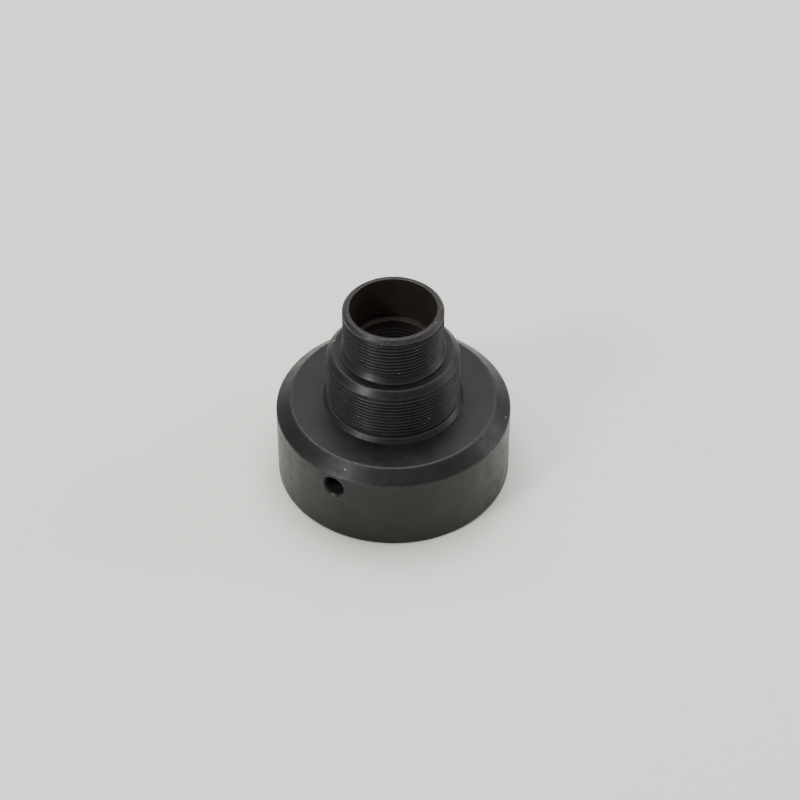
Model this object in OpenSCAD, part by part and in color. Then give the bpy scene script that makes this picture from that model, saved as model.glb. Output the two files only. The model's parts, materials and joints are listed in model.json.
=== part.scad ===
// Thread-mounted laser collimator: a stepped, black anodised housing that screws into an
// eyepiece or camera port, with an adjustable laser cell, a coin cell and a screwed rear
// cover with a push button. Millimetres, +Z along the beam, z = 0 at the rear rim.

/* [Drum] */
// Outer diameter of the drum
drum_d = 44.9; // [44.5:0.1:45.5]
// Height of the drum's straight side
drum_side_h = 15.2; // [15.0:0.1:15.6]
// Height of the drum's flat top face
drum_h = 17.54; // [17.4:0.01:17.7]
// Diameter of the flat top face, inside the chamfer
drum_top_d = 39.34; // [38.5:0.01:40]
// Inner diameter of the drum's cavity
cavity_d = 32.4; // [32.4:0.1:32.8]
// Diameter of the threaded counterbore for the rear cover
cover_bore_d = 37.0; // [37.0:0.1:37.4]

/* [Main thread] */
// Crest diameter of the main thread (one inch)
main_thread_d = 25.4; // [25.2:0.05:25.5]
// Diameter of the conical foot below the main thread
foot_collar_d = 26.9; // [26.4:0.1:27.2]
// Height of the barrel's flat top face
barrel_top_z = 29.35; // [29.3:0.01:29.4]

/* [Nose thread] */
// Crest diameter of the nose thread (three quarters of an inch)
nose_thread_d = 19.05; // [18.9:0.05:19.1]
// Diameter of the chamfered collar below the nose thread
nose_collar_d = 20.1; // [19.8:0.1:20.4]
// Total height of the collimator
total_h = 39.8; // [39.6:0.1:40]
// Diameter of the open bore in the nose
nose_bore_d = 16.36; // [16.2:0.02:16.5]
// Height of the shoulder at the bottom of the nose bore
shoulder_z = 30.37; // [30.2:0.01:30.5]
// Diameter of the narrower beam bore below the shoulder
beam_bore_d = 14.54; // [14.5:0.02:14.6]

/* [Alignment screws] */
// Height of the alignment screws above the rear rim
screw_z = 12.4; // [12.3:0.05:12.5]
// Diameter of the screw holes
screw_hole_d = 4.2; // [4.16:0.02:4.3]
// Distance from the axis to the outer end of each screw
screw_end_r = 19.45; // [19:0.05:20]

/* [Laser cell] */
// Diameter of the cell's flange
flange_d = 31.0; // [30.8:0.1:31]
// Diameter of the cell's neck
neck_d = 13.4; // [13.3:0.05:13.4]
// Diameter of the brass laser tube
laser_tube_d = 9.0; // [8.9:0.05:9]

/* [Power] */
// Diameter of the coin cell
coin_cell_d = 20; // [19.9:0.1:20]
// Thickness of the coin cell
coin_cell_h = 3.2; // [3:0.1:3.2]
// Diameter of the power button
button_d = 6.0; // [5.8:0.1:6]

/* [Hidden] */

smooth = 128;
black = [0.07, 0.068, 0.075];
nickel = [0.62, 0.61, 0.58];
brass = [0.74, 0.58, 0.3];

// Both threads and the alignment screws have 32 threads to the inch.
pitch = 25.4 / 32;
flank = 0.24;
land = 0.1;
thread_depth = 0.43;
thread_runout = 0.1;
cover_thread_depth = 0.35;

// Gap between pieces that slide, screw or press into each other.
fit_gap = 0.05;

drum_r = drum_d / 2;
cavity_r = cavity_d / 2;
cover_bore_r = cover_bore_d / 2;
cavity_floor_z = 6;
cavity_top_z = 14.9;
cover_groove_z = 0.7;
cover_grooves = 4;
spigot_hole_r = 11;
edge = 0.25;

main_r = main_thread_d / 2;
foot_top_r = 12.6;
main_thread_z = 19.2;
main_turns = 10;
lead_in_z = 28.05;
lead_in_r = 11.4;
barrel_seat_r = 8.75;
barrel_seat_z = 22.5;
beam_r = beam_bore_d / 2;

nose_r = nose_thread_d / 2;
nose_collar_side_z = 29.75;
nose_collar_top_z = 30.65;
nose_thread_z = 30.8;
nose_turns = 10;
rim_chamfer = 0.6;
inner_thread_z = 24.6;
inner_thread_depth = 0.12;
inner_turns = 7;

screw_angles = [240, 0, 120];
pad_inner_r = 15.75;
pad_outer_r = 16.6;
screw_inner_r = 16.65;

flange_z = 10.9;
flange_top_z = 14.6;
neck_top_z = 23.5;
pivot_z = 20;
pivot_groove_r = 6;
pivot_groove_h = 1.4;
board_pocket_z = 13.2;
board_pocket_r = 9.3;
tube_z = 13.3;
diode_z = 13.35;
diode_r = 2.8;
diode_h = 1.2;
lens_z = 19.8;
pin_spacing = 1.27;

cover_z = 0.8;
cover_top_z = 5.7;
cover_face_h = 1.8;
cover_thread_r = 18.4;
board_z = 4.9;
board_h = 0.8;
cell_z = 6.6;
cup_top_z = 10.4;
cup_lid_z = 9.9;
contact_hole_r = 3.2;
button_flange_z = 2.7;
button_flange_h = 0.5;

// Points of a V thread's crests, going up from z.
function thread_up(root_r, crest_r, z, turns) = [
    for (i = [0 : turns - 1])
        let (low = z + i * pitch)
        for (p = [[root_r, 0], [crest_r, flank], [crest_r, flank + land], [root_r, 2 * flank + land]])
            [p[0], low + p[1]]
];

// The same list of points from top to bottom.
function reversed(list) = [for (i = [len(list) - 1 : -1 : 0]) list[i]];

module lathe(points) {
    rotate_extrude($fn = smooth) polygon(points);
}

module ring(outer_r, inner_r, low, high) {
    lathe([[inner_r, low], [outer_r, low], [outer_r, high], [inner_r, high]]);
}

module disc(radius, low, high) {
    translate([0, 0, low]) cylinder(r = radius, h = high - low, $fn = smooth);
}

module o_ring(major_r, minor_r, z) {
    translate([0, 0, z]) rotate_extrude($fn = smooth)
        translate([major_r, 0]) circle(r = minor_r, $fn = 48);
}

// A round wire wound into a coil between two heights, r_low at the bottom and r_high at the top.
module coil(r_low, r_high, wire_r, low, high, turns) {
    steps = 14 * turns;
    sides = 6;
    points = [
        for (i = [0 : steps])
            let (t = i / steps, turn = 360 * turns * t, r = r_low + (r_high - r_low) * t,
                 z = low + wire_r + (high - low - 2 * wire_r) * t)
            for (k = [0 : sides - 1])
                let (a = 360 * k / sides, out = r + wire_r * cos(a))
                [out * cos(turn), out * sin(turn), z + wire_r * sin(a)]
    ];
    walls = [
        for (i = [0 : steps - 1])
            for (k = [0 : sides - 1])
                let (next = (k + 1) % sides)
                [i * sides + k, i * sides + next, (i + 1) * sides + next, (i + 1) * sides + k]
    ];
    start = [for (k = [sides - 1 : -1 : 0]) k];
    end = [for (k = [0 : sides - 1]) steps * sides + k];
    polyhedron(points = points, faces = concat(walls, [start, end]), convexity = 8);
}

// Puts a child at each of the diode's three pins.
module at_pins() {
    for (side = [-1, 0, 1])
        translate([pin_spacing * side, side == 0 ? pin_spacing : 0, 0]) children();
}

// Lays a child, drawn along +Z from the axis outwards, along one alignment screw.
module along_screw(number) {
    rotate([0, 0, screw_angles[number - 1]])
        translate([0, 0, screw_z])
            rotate([0, 90, 0]) children();
}

module drum_housing() {
    groove_r = cover_bore_r + cover_thread_depth;
    grooves = reversed(thread_up(cover_bore_r, groove_r, cover_groove_z, cover_grooves));
    color(black) difference() {
        lathe(concat(
            [[cover_bore_r + edge, 0], [drum_r - edge, 0], [drum_r, edge], [drum_r, drum_side_h],
             [drum_top_d / 2, drum_h], [spigot_hole_r, drum_h], [spigot_hole_r, cavity_top_z],
             [cavity_r, cavity_top_z], [cavity_r, cavity_floor_z], [cover_bore_r, cavity_floor_z]],
            grooves,
            [[cover_bore_r, edge]]));
        for (number = [1 : 3])
            along_screw(number) disc(screw_hole_d / 2, cavity_r - 2, drum_r + 1);
    }
}

module thread_barrel() {
    root_r = main_r - thread_depth;
    foot_r = foot_collar_d / 2;
    foot_top_z = drum_h + foot_r - foot_top_r;
    spigot_r = spigot_hole_r - fit_gap;
    thread_top_z = main_thread_z + main_turns * pitch + thread_runout;
    color(black) lathe(concat(
        [[beam_r, cavity_top_z], [spigot_r, cavity_top_z], [spigot_r, drum_h], [foot_r, drum_h],
         [foot_top_r, foot_top_z], [root_r, foot_top_z + thread_runout]],
        thread_up(root_r, main_r, main_thread_z, main_turns),
        [[root_r, thread_top_z], [main_r, thread_top_z + flank], [main_r, lead_in_z],
         [lead_in_r, barrel_top_z], [barrel_seat_r, barrel_top_z], [barrel_seat_r, barrel_seat_z],
         [beam_r, barrel_seat_z]]));
}

module nose_tube() {
    root_r = nose_r - thread_depth;
    collar_r = nose_collar_d / 2;
    bore_r = nose_bore_d / 2;
    spigot_r = barrel_seat_r - fit_gap;
    thread_top_z = nose_thread_z + nose_turns * pitch;
    inner_crest_r = beam_r - inner_thread_depth;
    inner_thread = reversed(thread_up(beam_r, inner_crest_r, inner_thread_z, inner_turns));
    color(black) lathe(concat(
        [[beam_r, barrel_seat_z], [spigot_r, barrel_seat_z], [spigot_r, barrel_top_z],
         [collar_r, barrel_top_z], [collar_r, nose_collar_side_z], [root_r, nose_collar_top_z]],
        thread_up(root_r, nose_r, nose_thread_z, nose_turns),
        [[root_r, thread_top_z], [nose_r, thread_top_z + 0.2], [nose_r, total_h - rim_chamfer],
         [nose_r - rim_chamfer, total_h], [bore_r, total_h], [bore_r, shoulder_z], [beam_r, shoulder_z]],
        inner_thread));
}

// Insulating carrier that holds the coin cell against the laser cell's contact.
module battery_cup() {
    cell_r = coin_cell_d / 2 + 0.2;
    color([0.09, 0.09, 0.1]) union() {
        ring(cavity_r - fit_gap, contact_hole_r, cup_lid_z, cup_top_z);
        ring(cell_r + 1.4, cell_r, cell_z, cup_lid_z);
        ring(cavity_r - fit_gap, cavity_r - 1.2, cavity_floor_z + 0.2, cup_lid_z);
    }
}

module battery_contact() {
    color(nickel) disc(contact_hole_r - 0.2, cell_z + coin_cell_h, cup_top_z + 0.05);
}

module coin_cell() {
    cell_r = coin_cell_d / 2;
    top = cell_z + coin_cell_h;
    color(nickel) lathe([
        [0, cell_z], [cell_r - 1.3, cell_z], [cell_r - 1.1, cell_z + 0.25], [cell_r - 0.3, cell_z + 0.4],
        [cell_r, cell_z + 0.7], [cell_r, top - 0.3], [cell_r - 0.3, top], [0, top]]);
}

module pivot_o_ring() {
    color([0.1, 0.1, 0.1]) o_ring(6.63, 0.55, pivot_z);
}

module laser_holder() {
    tube_r = laser_tube_d / 2 + fit_gap;
    neck_r = neck_d / 2;
    groove_low = pivot_z - pivot_groove_h / 2;
    groove_high = pivot_z + pivot_groove_h / 2;
    color([0.55, 0.55, 0.57]) lathe([
        [board_pocket_r, flange_z], [flange_d / 2 - edge, flange_z], [flange_d / 2, flange_z + edge],
        [flange_d / 2, flange_top_z - edge], [flange_d / 2 - edge, flange_top_z],
        [neck_r, flange_top_z], [neck_r, groove_low], [pivot_groove_r, groove_low],
        [pivot_groove_r, groove_high], [neck_r, groove_high], [neck_r, neck_top_z - 0.3],
        [neck_r - 0.3, neck_top_z], [tube_r, neck_top_z], [tube_r, board_pocket_z],
        [board_pocket_r, board_pocket_z]]);
}

module laser_tube() {
    tube_r = laser_tube_d / 2;
    seat_r = diode_r + fit_gap;
    bore_r = 3.3;
    window_r = 2.3;
    color(brass) lathe([
        [seat_r, tube_z], [tube_r, tube_z], [tube_r, 22.6], [bore_r, 22.6],
        [bore_r, 15.4], [window_r, 15.4], [window_r, 14.6], [seat_r, 14.6]]);
}

module laser_diode() {
    base_top = diode_z + diode_h;
    can_r = 2.2;
    color([0.8, 0.68, 0.4]) lathe([
        [0, diode_z], [diode_r, diode_z], [diode_r, base_top], [can_r, base_top],
        [can_r, 16.4], [can_r - 0.5, 16.6], [0, 16.6]]);
}

module diode_pins() {
    color(nickel) at_pins() disc(0.23, 11.6, diode_z);
}

module collimating_lens() {
    bulge = 0.7;
    rim_r = 3.2;
    rim_top = lens_z + 0.6;
    sphere_r = (rim_r * rim_r + bulge * bulge) / (2 * bulge);
    color([0.75, 0.85, 0.9, 0.5]) union() {
        disc(rim_r, lens_z, rim_top);
        intersection() {
            disc(rim_r, rim_top, rim_top + bulge);
            translate([0, 0, rim_top + bulge - sphere_r]) sphere(r = sphere_r, $fn = smooth);
        }
    }
}

module lens_spring() {
    color(nickel) coil(2.85, 2.85, 0.2, 15.5, lens_z, 4);
}

module lens_nut() {
    color(brass) difference() {
        ring(3.25, 1.9, 21.2, 22.4);
        translate([-3.4, -0.3, 22.0]) cube([6.8, 0.6, 0.6]);
    }
}

module aperture_stop() {
    color(black) ring(laser_tube_d / 2, 1.2, 22.7, 23.3);
}

module driver_board() {
    color([0.1, 0.32, 0.18]) difference() {
        disc(board_pocket_r - 0.2, 12.2, 13);
        at_pins() disc(0.3, 12, 13.2);
    }
}

module board_components() {
    color([0.14, 0.14, 0.15]) union() {
        translate([3.6, -1.5, 11.5]) cube([3.4, 3, 0.7]);
        translate([-6.4, 2.2, 11.6]) cube([2, 1.2, 0.6]);
        translate([-6.4, -3.6, 11.6]) cube([2, 1.2, 0.6]);
        translate([-1.2, -7, 11.6]) cube([1.2, 2, 0.6]);
    }
}

module driver_contact_spring() {
    color(brass) coil(2.5, 3, 0.18, 10.7, 12.2, 2);
}

module set_screw(number) {
    crest_r = screw_hole_d / 2 - fit_gap;
    root_r = crest_r - 0.3;
    hex_r = 1.98 / 2 / cos(30);
    color([0.12, 0.12, 0.13]) along_screw(number) difference() {
        lathe(concat(
            [[0, screw_inner_r], [root_r, screw_inner_r]],
            thread_up(root_r, crest_r, screw_inner_r + 0.2, 3),
            [[root_r, screw_end_r], [0, screw_end_r]]));
        translate([0, 0, screw_end_r - 1.6]) cylinder(r = hex_r, h = 2, $fn = 6);
    }
}

module screw_pad(number) {
    color([0.85, 0.84, 0.8]) along_screw(number) disc(1.4, pad_inner_r, pad_outer_r);
}

module set_screw_1() {
    set_screw(1);
}

module set_screw_2() {
    set_screw(2);
}

module set_screw_3() {
    set_screw(3);
}

module screw_pad_1() {
    screw_pad(1);
}

module screw_pad_2() {
    screw_pad(2);
}

module screw_pad_3() {
    screw_pad(3);
}

module cover_o_ring() {
    color([0.08, 0.08, 0.08]) o_ring(17.9, 0.45, 4.75);
}

module rear_cover() {
    face_top_z = cover_z + cover_face_h;
    board_r = 12.1;
    root_r = cover_thread_r - cover_thread_depth;
    color(black) difference() {
        lathe(concat(
            [[button_d / 2 + 0.1, cover_z], [cover_thread_r - 0.6, cover_z], [root_r, cover_z + 0.25]],
            thread_up(root_r, cover_thread_r, 1.1, 3),
            [[root_r, 4.15], [17.3, 4.15], [17.3, 5.35], [root_r, 5.35], [root_r, cover_top_z],
             [board_r, cover_top_z], [board_r, board_z], [11, board_z], [11, face_top_z],
             [button_d / 2 + 0.1, face_top_z]]));
        for (side = [-1, 1])
            translate([12 * side, 0, 0]) disc(1, cover_z - 1, cover_z + 1.2);
    }
}

module switch_board() {
    color([0.1, 0.32, 0.18]) disc(12, board_z, board_z + board_h);
}

module tact_switch() {
    color([0.15, 0.15, 0.16]) union() {
        translate([-3, -3, 4.2]) cube([6, 6, board_z - 4.2]);
        disc(1.6, 3.95, 4.2);
    }
}

module cover_contact_spring() {
    color(brass) coil(3.6, 2.2, 0.16, board_z + board_h, 6.4, 2);
}

module power_button() {
    button_r = button_d / 2;
    flange_top = button_flange_z + button_flange_h;
    color([0.45, 0.06, 0.05]) lathe([
        [0, cover_z + 0.05], [button_r - 0.3, cover_z + 0.05], [button_r, cover_z + 0.35],
        [button_r, button_flange_z], [5.4, button_flange_z], [5.4, flange_top], [0, flange_top]]);
}

module button_spring() {
    color(nickel) coil(4.8, 4.8, 0.14, button_flange_z + button_flange_h, board_z, 3);
}

drum_housing();
thread_barrel();
nose_tube();
battery_cup();
battery_contact();
coin_cell();
pivot_o_ring();
laser_holder();
laser_tube();
laser_diode();
diode_pins();
collimating_lens();
lens_spring();
lens_nut();
aperture_stop();
driver_board();
board_components();
driver_contact_spring();
set_screw_1();
set_screw_2();
set_screw_3();
screw_pad_1();
screw_pad_2();
screw_pad_3();
cover_o_ring();
rear_cover();
switch_board();
tact_switch();
cover_contact_spring();
power_button();
button_spring();
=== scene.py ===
"""Looks of the thread-mounted laser collimator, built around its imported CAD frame."""
import json
import math

import bmesh
import bpy
from mathutils import Matrix, Vector


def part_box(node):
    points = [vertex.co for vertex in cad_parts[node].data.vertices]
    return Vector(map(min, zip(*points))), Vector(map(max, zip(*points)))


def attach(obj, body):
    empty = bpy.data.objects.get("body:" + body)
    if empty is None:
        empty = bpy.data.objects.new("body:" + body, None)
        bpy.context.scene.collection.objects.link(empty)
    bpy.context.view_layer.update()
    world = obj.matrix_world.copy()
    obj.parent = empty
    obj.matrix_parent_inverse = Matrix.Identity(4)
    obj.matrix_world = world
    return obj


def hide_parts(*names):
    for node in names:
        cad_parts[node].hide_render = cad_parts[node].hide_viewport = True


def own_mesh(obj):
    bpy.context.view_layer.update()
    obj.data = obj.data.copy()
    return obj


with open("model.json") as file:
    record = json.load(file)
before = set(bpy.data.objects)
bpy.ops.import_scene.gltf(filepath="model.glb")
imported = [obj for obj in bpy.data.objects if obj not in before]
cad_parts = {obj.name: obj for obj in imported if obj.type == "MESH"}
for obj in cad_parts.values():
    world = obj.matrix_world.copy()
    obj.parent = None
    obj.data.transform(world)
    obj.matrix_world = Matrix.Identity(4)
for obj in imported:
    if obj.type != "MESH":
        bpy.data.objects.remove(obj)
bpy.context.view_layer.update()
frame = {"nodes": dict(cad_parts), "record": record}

MM = 0.001

# ---------------------------------------------------------------- sizes, in millimetres


def low_mm(node):
    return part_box(node)[0] / MM


def high_mm(node):
    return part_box(node)[1] / MM


PITCH = 25.4 / 32
THREAD_DEPTH = 0.43
THREAD_FADE = 0.5
THREAD_SAMPLES = 14
SEGMENTS = 240

DRUM_R = high_mm("drum_housing").x
DRUM_TOP = high_mm("drum_housing").z
DRUM_SIDE_TOP = 15.2
DRUM_FLAT_R = 19.67
CAVITY_R = 16.2
CAVITY_TOP = 14.9
CAVITY_FLOOR = 6.0
COVER_BORE_R = 18.5
SPIGOT_R = 11.0
FOOT_R = high_mm("thread_barrel").x
FOOT_TOP_R = 12.6
MAIN_R = 12.7
BARREL_TOP = high_mm("thread_barrel").z
LEAD_IN_Z = 28.05
LEAD_IN_R = 11.4
BEAM_R = 7.27
SEAT_R = 8.75
SEAT_Z = 22.5
NOSE_COLLAR_R = high_mm("nose_tube").x
NOSE_COLLAR_SIDE = 29.75
NOSE_COLLAR_TOP = 30.65
NOSE_R = 9.525
NOSE_BORE_R = 8.18
SHOULDER = 30.37
TOP = high_mm("nose_tube").z
RIM_CHAMFER = 0.6
FIT_GAP = 0.05
SCREW_Z = 12.4
SCREW_HOLE_R = 2.1
SCREW_ANGLES = {1: 240, 2: 0, 3: 120}
SCREW_IN_R = 16.65
SCREW_OUT_R = 19.45
SOCKET_R = 1.14
SOCKET_DEPTH = 1.6
PAD_R = 1.4
PAD_IN_R = 15.75
PAD_OUT_R = 16.6
COVER_LOW = 0.8
COVER_FACE = 2.6
COVER_TOP = 5.7
COVER_R = 18.4
COVER_ROOT_R = 18.05
COVER_RECESS_R = 11.0
SEAL_GROOVE_R = 17.3
SEAL_GROOVE_LOW = 4.15
SEAL_GROOVE_TOP = 5.35
BOARD_LOW = 4.9
BOARD_SEAT_R = 12.1
BUTTON_R = 3.0
BUTTON_HOLE_R = 3.1
BUTTON_FLANGE_R = 5.4
BUTTON_FLANGE_LOW = 2.7
BUTTON_FLANGE_TOP = 3.2

# ---------------------------------------------------------------- turned shapes


def thread_shape(phase):
    """Height of a V thread, 0 at its root and 1 at its crest, at a phase from 0 to 1."""
    root_flat, crest_flat = 0.22, 0.12
    slope = (1 - root_flat - crest_flat) / 2
    from_root = min(phase, 1 - phase) - root_flat / 2
    return max(0.0, min(1.0, from_root / slope))


def thread_entries(root, depth, start, end):
    """Rows of a thread from start to end. A negative depth cuts inwards from a bore's wall."""
    count = int(abs(end - start) / PITCH * THREAD_SAMPLES)
    rows = []
    for i in range(count + 1):
        z = start + (end - start) * i / count
        fade = max(0.0, min(1.0, abs(z - start) / THREAD_FADE, abs(end - z) / THREAD_FADE))
        rows.append((root, z, depth * fade, False))
    return rows


def outline_rows(items, edge=0.12, guard=0.3):
    """Rows (radius, height, thread depth, wear) of a closed outline, given counter-clockwise.

    An item is a corner (radius, height) or a thread (root, depth, start, end). Each corner is
    softened over about edge, and convex corners are marked as worn.
    """
    entries = []
    for item in items:
        entries += [(*item, 0.0, True)] if len(item) == 2 else thread_entries(*item)
    rows = []
    count = len(entries)
    for i, (radius, z, depth, corner) in enumerate(entries):
        if not corner:
            rows.append((radius, z, depth, 0.0))
            continue
        here = Vector((radius, z))
        back = Vector(entries[i - 1][:2]) - here
        ahead = Vector(entries[(i + 1) % count][:2]) - here
        if radius < 1e-6:
            rows.append((0.0, z, 0.0, 0.0))
            continue
        reach = min(edge, 0.4 * back.length, 0.4 * ahead.length)
        wear = 1.0 if (-back).cross(ahead) > 0 else 0.0
        first = here + back.normalized() * reach
        last = here + ahead.normalized() * reach
        if back.length > 4 * guard:
            rows.append((*(first + back.normalized() * guard), 0.0, 0.0))
        for t in (0.0, 0.25, 0.5, 0.75, 1.0):
            point = first * (1 - t) ** 2 + here * 2 * t * (1 - t) + last * t ** 2
            rows.append((point.x, point.y, 0.0, wear * (0.55 + 1.8 * t * (1 - t))))
        if ahead.length > 4 * guard:
            rows.append((*(last + ahead.normalized() * guard), 0.0, 0.0))
    return rows


def finish_mesh(name, mesh, material, body, nodes, sharp=32):
    """Links a mesh as a piece with its material, smooth shading, body and CAD nodes."""
    mesh.polygons.foreach_set("use_smooth", [True] * len(mesh.polygons))
    mesh.set_sharp_from_angle(angle=math.radians(sharp))
    mesh.materials.clear()
    mesh.materials.append(material)
    piece = bpy.data.objects.new(name, mesh)
    bpy.context.scene.collection.objects.link(piece)
    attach(piece, body)
    if nodes:
        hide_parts(*nodes)
    return piece


def revolve_mesh(name, items, segments=SEGMENTS, edge=0.12, place=Matrix.Identity(4)):
    """A turned mesh, in metres, with a per-point wear value."""
    rows = outline_rows(items, edge)
    points, worn = [], []
    for radius, z, depth, wear in rows:
        for s in range(segments):
            share = s / segments
            shape = thread_shape((z / PITCH - share) % 1.0) if depth else 0.0
            r = radius + depth * shape
            angle = 2 * math.pi * share
            points.append(Vector((r * math.cos(angle), r * math.sin(angle), z)) * MM)
            worn.append(max(wear, 0.95 * shape ** 2))
    count = len(rows)
    faces = []
    for i in range(count):
        j = (i + 1) % count
        if rows[i][0] < 1e-6 and rows[j][0] < 1e-6:
            continue
        for s in range(segments):
            t = (s + 1) % segments
            faces.append((i * segments + s, i * segments + t, j * segments + t, j * segments + s))
    mesh = bpy.data.meshes.new(name)
    mesh.from_pydata(points, [], faces)
    mesh.attributes.new("wear", "FLOAT", "POINT").data.foreach_set("value", worn)
    work = bmesh.new()
    work.from_mesh(mesh)
    bmesh.ops.remove_doubles(work, verts=work.verts, dist=1e-7)
    work.to_mesh(mesh)
    work.free()
    mesh.transform(place)
    mesh.update()
    return mesh


def turned(name, items, material, body, slot, nodes, **shape):
    return finish_mesh(name, revolve_mesh(name, items, **shape), material, body, nodes)


def cut(mesh, cutters):
    """The mesh with each cutter mesh taken out of it."""
    solid = bpy.data.objects.new("solid", mesh)
    bpy.context.scene.collection.objects.link(solid)
    tools = []
    for cutter in cutters:
        tool = bpy.data.objects.new("tool", cutter)
        bpy.context.scene.collection.objects.link(tool)
        tools.append(tool)
        step = solid.modifiers.new("cut", "BOOLEAN")
        step.operation = "DIFFERENCE"
        step.solver = "EXACT"
        step.object = tool
    graph = bpy.context.evaluated_depsgraph_get()
    result = bpy.data.meshes.new_from_object(solid.evaluated_get(graph))
    for scrap in [solid, *tools]:
        bpy.data.objects.remove(scrap)
    return result


def along_screw(number):
    """Places a shape drawn along +Z from the axis so that it lies along an alignment screw."""
    turn = Matrix.Rotation(math.radians(SCREW_ANGLES[number]), 4, "Z")
    lift = Matrix.Translation((0, 0, SCREW_Z * MM))
    return turn @ lift @ Matrix.Rotation(math.radians(90), 4, "Y")


def coil_mesh(name, r_low, r_high, wire_r, low, high, turns):
    """A round wire wound into a helix, in metres, with closed ends."""
    sides, steps = 10, 36 * turns
    points = []
    for i in range(steps + 1):
        t = i / steps
        angle = 2 * math.pi * turns * t
        radius = r_low + (r_high - r_low) * t
        z = low + wire_r + (high - low - 2 * wire_r) * t
        for k in range(sides):
            a = 2 * math.pi * k / sides
            out = radius + wire_r * math.cos(a)
            points.append(
                Vector((out * math.cos(angle), out * math.sin(angle), z + wire_r * math.sin(a))) * MM)
    faces = []
    for i in range(steps):
        for k in range(sides):
            n = (k + 1) % sides
            faces.append((i * sides + k, i * sides + n, (i + 1) * sides + n, (i + 1) * sides + k))
    faces.append(tuple(reversed(range(sides))))
    faces.append(tuple(steps * sides + k for k in range(sides)))
    mesh = bpy.data.meshes.new(name)
    mesh.from_pydata(points, [], faces)
    mesh.update()
    work = bmesh.new()
    work.from_mesh(mesh)
    bmesh.ops.recalc_face_normals(work, faces=work.faces)
    work.to_mesh(mesh)
    work.free()
    return mesh


# ---------------------------------------------------------------- materials


class Nodes:
    """A short way to write a material's node graph."""

    def __init__(self, name):
        self.material = bpy.data.materials.new(name)
        self.material.use_nodes = True
        self.tree = self.material.node_tree
        self.shader = self.tree.nodes["Principled BSDF"]

    def add(self, kind, settings=None, **inputs):
        """A new node. An input is named, or numbered as _0, _1 and so on."""
        node = self.tree.nodes.new(kind)
        for key, value in (settings or {}).items():
            setattr(node, key, value)
        for key, value in inputs.items():
            self.feed(node, int(key[1:]) if key[1:].isdigit() else key, value)
        return node

    def feed(self, node, socket, value):
        if isinstance(value, bpy.types.NodeSocket):
            self.tree.links.new(value, node.inputs[socket])
        else:
            node.inputs[socket].default_value = value

    def math(self, operation, a, b=0.0):
        return self.add("ShaderNodeMath", {"operation": operation}, _0=a, _1=b).outputs[0]

    def span(self, value, from_low, from_high, to_low, to_high):
        return self.add("ShaderNodeMapRange", None, _0=value, _1=from_low, _2=from_high,
                        _3=to_low, _4=to_high).outputs[0]

    def place(self):
        """The point in the piece's own space, so that the pattern moves with the piece."""
        return self.add("ShaderNodeTexCoord").outputs["Object"]

    def noise(self, scale, detail=3.0):
        return self.add("ShaderNodeTexNoise", None, Vector=self.place(), Scale=scale,
                        Detail=detail).outputs["Fac"]

    def radius_and_height(self):
        """Distance from the collimator's axis, and height above its rear rim, in metres."""
        x, y, z = self.add("ShaderNodeSeparateXYZ", None, Vector=self.place()).outputs
        square = self.math("ADD", self.math("MULTIPLY", x, x), self.math("MULTIPLY", y, y))
        return self.math("SQRT", square), z

    def turning(self, scale):
        """Fine rings left by a lathe tool, on faces across and along the axis alike."""
        radius, z = self.radius_and_height()
        along = self.math("ADD", radius, z)
        return self.add("ShaderNodeTexNoise", {"noise_dimensions": "1D"}, W=along, Scale=scale,
                        Detail=2.0).outputs["Fac"]

    def mix(self, factor, a, b):
        """Colour a where the factor is 0, and b where it is 1."""
        node = self.add("ShaderNodeMix", {"data_type": "RGBA"})
        self.feed(node, 0, factor)
        self.feed(node, 6, a)
        self.feed(node, 7, b)
        return node.outputs[2]

    def specks(self, scale, size, share):
        """Sparse small dots: 1 in a dot, 0 elsewhere."""
        cells = self.add("ShaderNodeTexVoronoi", None, Vector=self.place(), Scale=scale)
        near = self.math("LESS_THAN", cells.outputs["Distance"], size)
        pick = self.add("ShaderNodeSeparateColor", None, Color=cells.outputs["Color"]).outputs[0]
        return self.math("MULTIPLY", near, self.math("LESS_THAN", pick, share))

    def bump(self, height, distance, strength=1.0, below=None):
        node = self.add("ShaderNodeBump", None, Height=height, Distance=distance, Strength=strength)
        if below:
            self.feed(node, "Normal", below)
        return node.outputs[0]

    def set(self, **values):
        """Sets or links the shader's own inputs. An underscore stands for a space."""
        for key, value in values.items():
            self.feed(self.shader, key.replace("_", " "), value)
        return self.material


def rgb(*values):
    return (*values, 1.0)


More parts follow.
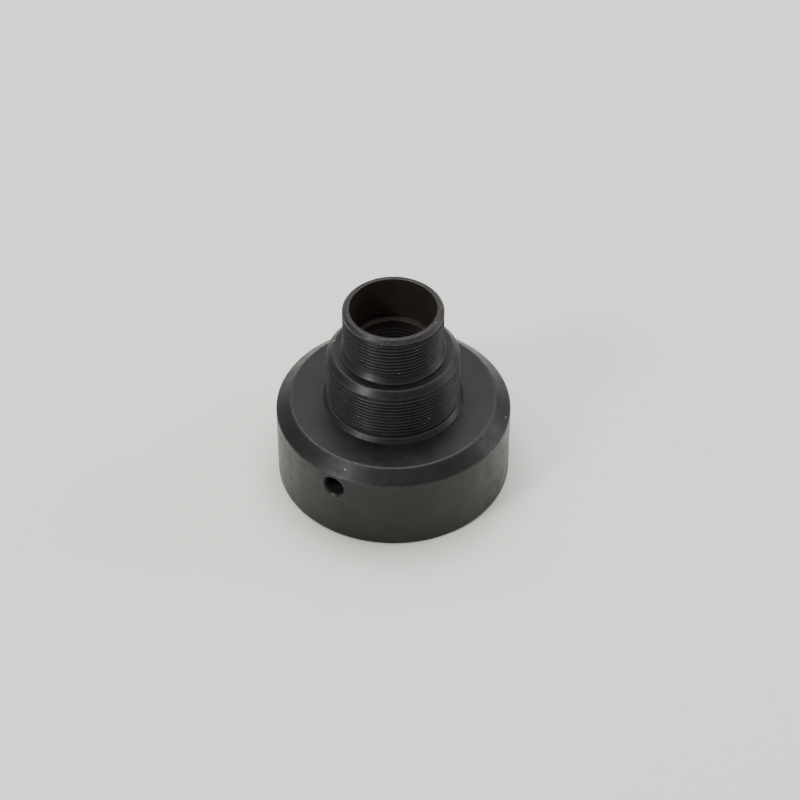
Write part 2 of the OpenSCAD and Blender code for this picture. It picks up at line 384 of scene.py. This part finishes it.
def anodised():
    """Black anodised aluminium: clouded, finely turned, worn at corners, with dust and nicks."""
    n = Nodes("black_anodised")
    cloud = n.span(n.noise(180.0), 0.3, 0.7, 0.0, 1.0)
    smudge = n.noise(420.0, 5.0)
    rings = n.turning(9000.0)
    wear_mask = n.add("ShaderNodeAttribute", {"attribute_name": "wear"}).outputs["Fac"]
    patchy = n.span(n.noise(1500.0, 4.0), 0.38, 0.68, 0.0, 1.0)
    wear = n.math("MULTIPLY", wear_mask, n.math("ADD", n.math("MULTIPLY", patchy, 0.14), 0.06))
    dust = n.specks(330.0, 0.05, 0.16)
    nicks = n.math("MULTIPLY", n.specks(900.0, 0.16, 0.13), n.math("GREATER_THAN", wear_mask, 0.55))
    dust = n.math("MAXIMUM", dust, nicks)
    base = n.mix(cloud, rgb(0.0078, 0.0068, 0.0062), rgb(0.0125, 0.0108, 0.0098))
    radius, height = n.radius_and_height()
    in_bore = n.math("MULTIPLY", n.math("LESS_THAN", radius, (NOSE_BORE_R + 0.08) * MM),
                     n.math("GREATER_THAN", height, SEAT_Z * MM))
    base = n.mix(in_bore, base, n.mix(smudge, rgb(0.02, 0.0145, 0.0105), rgb(0.045, 0.034, 0.026)))
    base = n.mix(wear, base, rgb(0.2, 0.185, 0.175))
    base = n.mix(n.math("MULTIPLY", dust, 0.75), base, rgb(0.36, 0.35, 0.33))
    rough = n.math("ADD", n.span(smudge, 0.3, 0.7, 0.32, 0.46), n.span(rings, 0.3, 0.7, -0.04, 0.04))
    rough = n.math("ADD", rough, n.math("MULTIPLY", dust, 0.3))
    normal = n.bump(rings, 0.000012, 0.5)
    normal = n.bump(n.noise(5200.0, 2.0), 0.000006, 0.5, normal)
    n.set(IOR=1.37)
    return n.set(Base_Color=base, Roughness=rough, Normal=normal,
                 Metallic=n.math("MULTIPLY", wear, 0.6))


def metal(name, light, dark, roughness, ring_scale=7000.0):
    """Turned bare metal, tarnished in patches."""
    n = Nodes(name)
    rings = n.turning(ring_scale)
    tarnish = n.span(n.noise(260.0, 4.0), 0.35, 0.7, 0.0, 1.0)
    base = n.mix(tarnish, rgb(*light), rgb(*dark))
    rough = n.math("ADD", n.span(rings, 0.3, 0.7, roughness - 0.05, roughness + 0.06),
                   n.math("MULTIPLY", tarnish, 0.08))
    n.set(Metallic=1.0)
    return n.set(Base_Color=base, Roughness=rough, Normal=n.bump(rings, 0.00001, 0.5))


def plastic(name, light, dark, roughness, grain=3800.0):
    """Moulded plastic or rubber with a fine grain."""
    n = Nodes(name)
    fleck = n.noise(grain, 3.0)
    base = n.mix(n.span(n.noise(300.0), 0.35, 0.65, 0.0, 1.0), rgb(*light), rgb(*dark))
    rough = n.span(fleck, 0.3, 0.7, roughness - 0.06, roughness + 0.06)
    return n.set(Base_Color=base, Roughness=rough, Normal=n.bump(fleck, 0.00002, 0.6))


def circuit_board():
    """Green solder mask over raised tracks and a faint glass weave."""
    n = Nodes("board_green")
    weave = n.add("ShaderNodeTexBrick", None, Vector=n.place(), Scale=900.0).outputs["Fac"]
    traces = n.span(n.add("ShaderNodeTexVoronoi", {"distance": "CHEBYCHEV"}, Vector=n.place(),
                          Scale=420.0).outputs["Distance"], 0.3, 0.34, 0.0, 1.0)
    base = n.mix(traces, rgb(0.012, 0.12, 0.05), rgb(0.02, 0.19, 0.08))
    return n.set(Base_Color=base, Roughness=n.span(weave, 0.0, 1.0, 0.28, 0.36),
                 Normal=n.bump(traces, 0.00002, 0.6))


def glass():
    """Clear lens glass with a little haze."""
    n = Nodes("lens_glass")
    haze = n.span(n.noise(700.0), 0.4, 0.7, 0.02, 0.07)
    n.set(Transmission_Weight=0.92, IOR=1.52)
    return n.set(Base_Color=rgb(0.88, 0.93, 0.97), Roughness=haze)


MATERIALS = {
    "black_anodised": anodised(),
    "black_nylon": plastic("black_nylon", (0.022, 0.022, 0.024), (0.035, 0.035, 0.037), 0.5),
    "spring_nickel": metal("spring_nickel", (0.66, 0.64, 0.6), (0.5, 0.48, 0.45), 0.26),
    "cell_steel": metal("cell_steel", (0.7, 0.7, 0.69), (0.56, 0.56, 0.55), 0.24, 5000.0),
    "seal_rubber": plastic("seal_rubber", (0.013,) * 3, (0.024,) * 3, 0.58, 2600.0),
    "bare_aluminium": metal("bare_aluminium", (0.66, 0.66, 0.68), (0.52, 0.52, 0.54), 0.34),
    "module_brass": metal("module_brass", (0.76, 0.56, 0.26), (0.55, 0.38, 0.17), 0.3),
    "diode_gold": metal("diode_gold", (0.88, 0.69, 0.34), (0.74, 0.55, 0.27), 0.22),
    "lens_glass": glass(),
    "board_green": circuit_board(),
    "component_black": plastic("component_black", (0.02, 0.02, 0.021), (0.034, 0.034, 0.035), 0.42),
    "spring_gold": metal("spring_gold", (0.8, 0.6, 0.3), (0.62, 0.44, 0.2), 0.25),
    "black_oxide_steel": metal("black_oxide_steel", (0.075, 0.075, 0.08), (0.035, 0.033, 0.034), 0.4),
    "white_nylon": plastic("white_nylon", (0.76, 0.75, 0.7), (0.66, 0.65, 0.6), 0.45),
    "button_red": plastic("button_red", (0.42, 0.028, 0.02), (0.33, 0.02, 0.016), 0.38),
}

SLOT_OF = {s["node"]: s["material_slot"] for s in frame["record"]["subparts"]}
BODY_OF = {n: body for body, names in frame["record"]["behaviour"]["bodies"].items() for n in names}


def finish_cad_nodes():
    """Gives every CAD node its procedural material."""
    for name, node in frame["nodes"].items():
        node.data.materials.clear()
        node.data.materials.append(MATERIALS[SLOT_OF[name]])


def part(node, items, **shape):
    """A turned piece that stands for one CAD node, on its body and in its slot."""
    slot = SLOT_OF[node]
    return turned(node + "_turned", items, MATERIALS[slot], BODY_OF[node], slot, [node], **shape)


# ---------------------------------------------------------------- housing


def drum():
    """The wide drum, with its chamfer, cover thread and three screw holes."""
    rim = 0.3
    items = [
        (COVER_BORE_R + rim, 0), (DRUM_R - rim, 0), (DRUM_R, rim), (DRUM_R, DRUM_SIDE_TOP),
        (DRUM_FLAT_R, DRUM_TOP), (SPIGOT_R, DRUM_TOP), (SPIGOT_R, CAVITY_TOP),
        (CAVITY_R, CAVITY_TOP), (CAVITY_R, CAVITY_FLOOR), (COVER_BORE_R, CAVITY_FLOOR),
        (COVER_BORE_R, COVER_R - COVER_ROOT_R, 4.4, 0.5), (COVER_BORE_R, rim)]
    mouth_r = SCREW_HOLE_R + 0.4
    inner, outer = CAVITY_R - 2, DRUM_R + 1
    hole = [(0, inner), (SCREW_HOLE_R, inner), (SCREW_HOLE_R, DRUM_R - 0.3),
            (mouth_r, DRUM_R + 0.1), (mouth_r, outer), (0, outer)]
    holes = [revolve_mesh("hole", hole, segments=64, edge=0.01, place=along_screw(number))
             for number in SCREW_ANGLES]
    mesh = cut(revolve_mesh("drum_housing_turned", items, edge=0.16), holes)
    slot = SLOT_OF["drum_housing"]
    finish_mesh("drum_housing_turned", mesh, MATERIALS[slot], "housing", ["drum_housing"], 25)


def barrel():
    """The middle step with the main thread."""
    root = MAIN_R - THREAD_DEPTH
    foot_top = DRUM_TOP + FOOT_R - FOOT_TOP_R
    part("thread_barrel", [
        (BEAM_R, CAVITY_TOP), (SPIGOT_R - FIT_GAP, CAVITY_TOP), (SPIGOT_R - FIT_GAP, DRUM_TOP),
        (FOOT_R, DRUM_TOP), (FOOT_TOP_R, foot_top), (root, foot_top + 0.1),
        (root, THREAD_DEPTH, foot_top + 0.35, LEAD_IN_Z - 0.05),
        (MAIN_R - 0.05, LEAD_IN_Z + 0.05), (LEAD_IN_R, BARREL_TOP), (SEAT_R, BARREL_TOP),
        (SEAT_R, SEAT_Z), (BEAM_R, SEAT_Z)])


def nose():
    """The slim front tube with the nose thread, its open bore and the finely threaded beam bore."""
    root = NOSE_R - THREAD_DEPTH
    part("nose_tube", [
        (BEAM_R, SEAT_Z), (SEAT_R - FIT_GAP, SEAT_Z), (SEAT_R - FIT_GAP, BARREL_TOP),
        (NOSE_COLLAR_R, BARREL_TOP), (NOSE_COLLAR_R, NOSE_COLLAR_SIDE), (root, NOSE_COLLAR_TOP),
        (root, THREAD_DEPTH, NOSE_COLLAR_TOP + 0.1, TOP - 1.1),
        (NOSE_R, TOP - 1.0), (NOSE_R, TOP - RIM_CHAMFER), (NOSE_R - RIM_CHAMFER, TOP),
        (NOSE_BORE_R, TOP),
        (NOSE_BORE_R, SHOULDER), (BEAM_R, SHOULDER), (BEAM_R, -0.08, SHOULDER - 1.2, 24.4)])


# ---------------------------------------------------------------- alignment screws


def alignment_screw(number):
    """A threaded set screw with a hexagonal socket, in its hole."""
    node = f"set_screw_{number}"
    slot = SLOT_OF[node]
    crest = SCREW_HOLE_R - FIT_GAP
    root = crest - 0.3
    tip = SCREW_IN_R + 0.2
    items = [
        (0, SCREW_IN_R), (root - 0.2, SCREW_IN_R), (root, tip),
        (root, crest - root, tip, SCREW_OUT_R - 0.1), (root, SCREW_OUT_R), (0, SCREW_OUT_R)]
    floor_r, mouth_r = SCREW_OUT_R - SOCKET_DEPTH, SCREW_OUT_R + 1
    socket = [(0, floor_r), (SOCKET_R, floor_r), (SOCKET_R, mouth_r), (0, mouth_r)]
    place = along_screw(number)
    body = revolve_mesh(node, items, segments=72, edge=0.06, place=place)
    mesh = cut(body, [revolve_mesh("socket", socket, segments=6, edge=0.001, place=place)])
    finish_mesh(node + "_turned", mesh, MATERIALS[slot], node, [node])


def screw_pad(number):
    """The soft nylon tip that an alignment screw pushes."""
    node = f"screw_pad_{number}"
    part(node, [(0, PAD_IN_R), (PAD_R, PAD_IN_R), (PAD_R, PAD_OUT_R), (0, PAD_OUT_R)],
         segments=64, edge=0.2, place=along_screw(number))


# ---------------------------------------------------------------- rear cover and button


def cover():
    """The recessed screw cover with two spanner holes and the button's opening."""
    root = COVER_ROOT_R
    chamfer = 0.25
    items = [
        (BUTTON_HOLE_R, COVER_LOW), (root - chamfer, COVER_LOW), (root, COVER_LOW + chamfer),
        (root, COVER_R - root, COVER_LOW + chamfer, SEAL_GROOVE_LOW - 0.05),
        (root, SEAL_GROOVE_LOW), (SEAL_GROOVE_R, SEAL_GROOVE_LOW),
        (SEAL_GROOVE_R, SEAL_GROOVE_TOP), (root, SEAL_GROOVE_TOP), (root, COVER_TOP),
        (BOARD_SEAT_R, COVER_TOP), (BOARD_SEAT_R, BOARD_LOW), (COVER_RECESS_R, BOARD_LOW),
        (COVER_RECESS_R, COVER_FACE), (BUTTON_HOLE_R, COVER_FACE)]
    hole_r, hole_top, hole_place = 1, 2, 12
    spanner = [(0, -0.2), (hole_r, -0.2), (hole_r, hole_top), (0, hole_top)]
    holes = [revolve_mesh("spanner", spanner, segments=48, edge=0.01,
                          place=Matrix.Translation((hole_place * side * MM, 0, 0)))
             for side in (-1, 1)]
    slot = SLOT_OF["rear_cover"]
    mesh = cut(revolve_mesh("rear_cover_turned", items, edge=0.1), holes)
    finish_mesh("rear_cover_turned", mesh, MATERIALS[slot], "rear_cover", ["rear_cover"], 25)


def button():
    """The push button, slightly dished on its face, and its retaining flange."""
    part("power_button", [
        (0, 0.95), (1.6, 0.88), (BUTTON_R - 0.3, 0.85), (BUTTON_R, 1.15),
        (BUTTON_R, BUTTON_FLANGE_LOW), (BUTTON_FLANGE_R, BUTTON_FLANGE_LOW),
        (BUTTON_FLANGE_R, BUTTON_FLANGE_TOP), (0, BUTTON_FLANGE_TOP)], segments=120, edge=0.14)


# ---------------------------------------------------------------- laser cell and power


def laser_cell():
    """The turned pieces of the tilting cell."""
    part("laser_holder", [
        (9.3, 10.9), (15.25, 10.9), (15.5, 11.15), (15.5, 14.35), (15.25, 14.6), (6.7, 14.6),
        (6.7, 19.3), (6, 19.3), (6, 20.7), (6.7, 20.7), (6.7, 23.2), (6.4, 23.5), (4.55, 23.5),
        (4.55, 13.2), (9.3, 13.2)], segments=144)
    part("laser_tube", [
        (2.85, 13.3), (4.5, 13.3), (4.5, 22.6), (3.3, 22.6), (3.3, 15.4), (2.3, 15.4), (2.3, 14.6),
        (2.85, 14.6)], segments=112, edge=0.08)
    part("laser_diode", [
        (0, 13.35), (2.8, 13.35), (2.8, 14.55), (2.2, 14.55), (2.2, 16.4), (1.7, 16.6), (0, 16.6)],
        segments=96, edge=0.08)
    part("aperture_stop", [(1.2, 22.7), (4.5, 22.7), (4.5, 23.3), (1.5, 23.3), (1.2, 23.0)],
         segments=112, edge=0.05)
    part("coin_cell", [
        (0, 6.6), (8.7, 6.6), (8.9, 6.85), (9.7, 7.0), (10, 7.3), (10, 9.5), (9.7, 9.8), (0, 9.8)],
        segments=144, edge=0.15)


def springs():
    """The wound springs. The button's spring gets a mesh of its own."""
    coils = {
        "lens_spring": (2.85, 2.85, 0.2, 15.5, 19.8, 4),
        "driver_contact_spring": (2.5, 3.0, 0.18, 10.7, 12.2, 2),
        "cover_contact_spring": (3.6, 2.2, 0.16, COVER_TOP, 6.4, 2),
        "button_spring": (4.8, 4.8, 0.14, BUTTON_FLANGE_TOP, BOARD_LOW, 3),
    }
    for node, sizes in coils.items():
        slot = SLOT_OF[node]
        mesh = coil_mesh(node + "_wound", *sizes)
        piece = finish_mesh(node + "_wound", mesh, MATERIALS[slot], BODY_OF[node], [node], 60)
        if node == "button_spring":
            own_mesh(piece)


def seals():
    """The two O-rings."""
    section = 20
    rings = (("pivot_o_ring", 6.63, 0.55, 20.0), ("cover_o_ring", 17.9, 0.45, 4.75))
    for node, major, minor, z in rings:
        items = [(major + minor * math.cos(2 * math.pi * k / section),
                  z + minor * math.sin(2 * math.pi * k / section)) for k in range(section)]
        part(node, items, segments=160, edge=0.02)


# ---------------------------------------------------------------- stage, light and camera


def floor():
    """The pale surface that the collimator stands on."""
    n = Nodes("pale_floor")
    grain = n.noise(1400.0, 4.0)
    patches = n.span(n.noise(9.0), 0.3, 0.7, 0.0, 1.0)
    base = n.mix(patches, rgb(0.8, 0.81, 0.715), rgb(0.825, 0.835, 0.74))
    n.set(Base_Color=base, Roughness=0.7, Normal=n.bump(grain, 0.00004, 0.3))
    half = 3.0
    mesh = bpy.data.meshes.new("floor")
    mesh.from_pydata([(-half, -half, 0), (half, -half, 0), (half, half, 0), (-half, half, 0)], [],
                     [(0, 1, 2, 3)])
    mesh.materials.append(n.material)
    plane = bpy.data.objects.new("floor", mesh)
    bpy.context.scene.collection.objects.link(plane)


def softbox(name, place, aim, size, power, colour=(1, 1, 1)):
    """A square area light that faces a point."""
    data = bpy.data.lights.new(name, "AREA")
    data.size = size
    data.energy = power
    data.color = colour
    light = bpy.data.objects.new(name, data)
    bpy.context.scene.collection.objects.link(light)
    light.location = place
    light.rotation_euler = (Vector(aim) - Vector(place)).to_track_quat("-Z", "Y").to_euler()


def studio():
    """Soft light from all round, a large softbox overhead and two small ones from the sides."""
    world = bpy.data.worlds.new("studio")
    bpy.context.scene.world = world
    world.use_nodes = True
    background = world.node_tree.nodes["Background"]
    background.inputs["Color"].default_value = rgb(0.91, 0.9, 1.0)
    background.inputs["Strength"].default_value = 0.44
    softbox("key", (-0.04, 0.23, 0.9), (0, 0, 0.02), 0.85, 12.2, (0.98, 0.97, 1.0))
    softbox("window", (-0.58, -0.46, 0.62), (0, 0, 0.02), 0.13, 3.3)
    softbox("fill", (0.75, 0.2, 0.4), (0, 0, 0.02), 0.4, 1.8, (0.95, 0.96, 1.0))


def camera():
    """Looks down from the front, at a point a little behind the axis."""
    data = bpy.data.cameras.new("camera")
    data.sensor_width = 36.0
    data.lens = 112.35
    view = bpy.data.objects.new("camera", data)
    bpy.context.scene.collection.objects.link(view)
    elevation = math.radians(43.41)
    aim = Vector((1.26, 8.2, 8.6)) * MM
    distance = 489 * MM
    view.location = aim + Vector((0, -math.cos(elevation), math.sin(elevation))) * distance
    view.rotation_euler = (math.pi / 2 - elevation, 0, 0)
    bpy.context.scene.camera = view


camera()
floor()
studio()
finish_cad_nodes()
drum()
barrel()
nose()
for screw in SCREW_ANGLES:
    alignment_screw(screw)
    screw_pad(screw)
cover()
button()
laser_cell()
springs()
seals()
